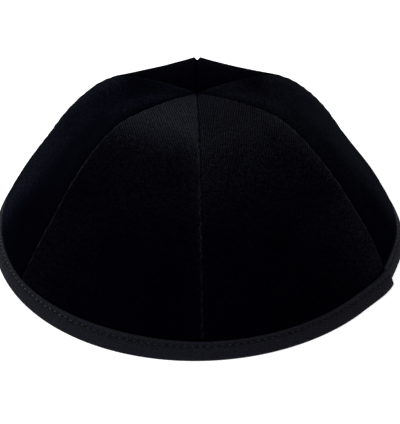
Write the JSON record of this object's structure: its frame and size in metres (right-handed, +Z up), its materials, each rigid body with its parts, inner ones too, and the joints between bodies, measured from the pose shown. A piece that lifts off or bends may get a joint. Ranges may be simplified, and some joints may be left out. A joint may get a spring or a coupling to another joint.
{
  "type": "skullcap",
  "caption": "Small round skullcap of velvet gores that meet at the crown, with a ribbed binding tape folded over its rim; worn on the crown of the head",
  "frame": {"origin": "on the surface that the rim rests on, under the middle of the cap", "axes": "+Z up through the crown; the front of the cap, with its front centre seam, faces -Y; +X is the viewer's right from the front"},
  "size_m": [0.1782, 0.1807, 0.0706],
  "materials": {
    "velvet": "short dense black velvet pile",
    "binding_tape": "finely ribbed dark woven tape"
  },
  "bodies": {
    "root": {"front_left_panel": "velvet", "front_right_panel": "velvet", "side_left_panel": "velvet", "side_right_panel": "velvet", "back_left_panel": "velvet", "back_right_panel": "velvet", "rim_binding": "binding_tape"}
  },
  "joints": []
}
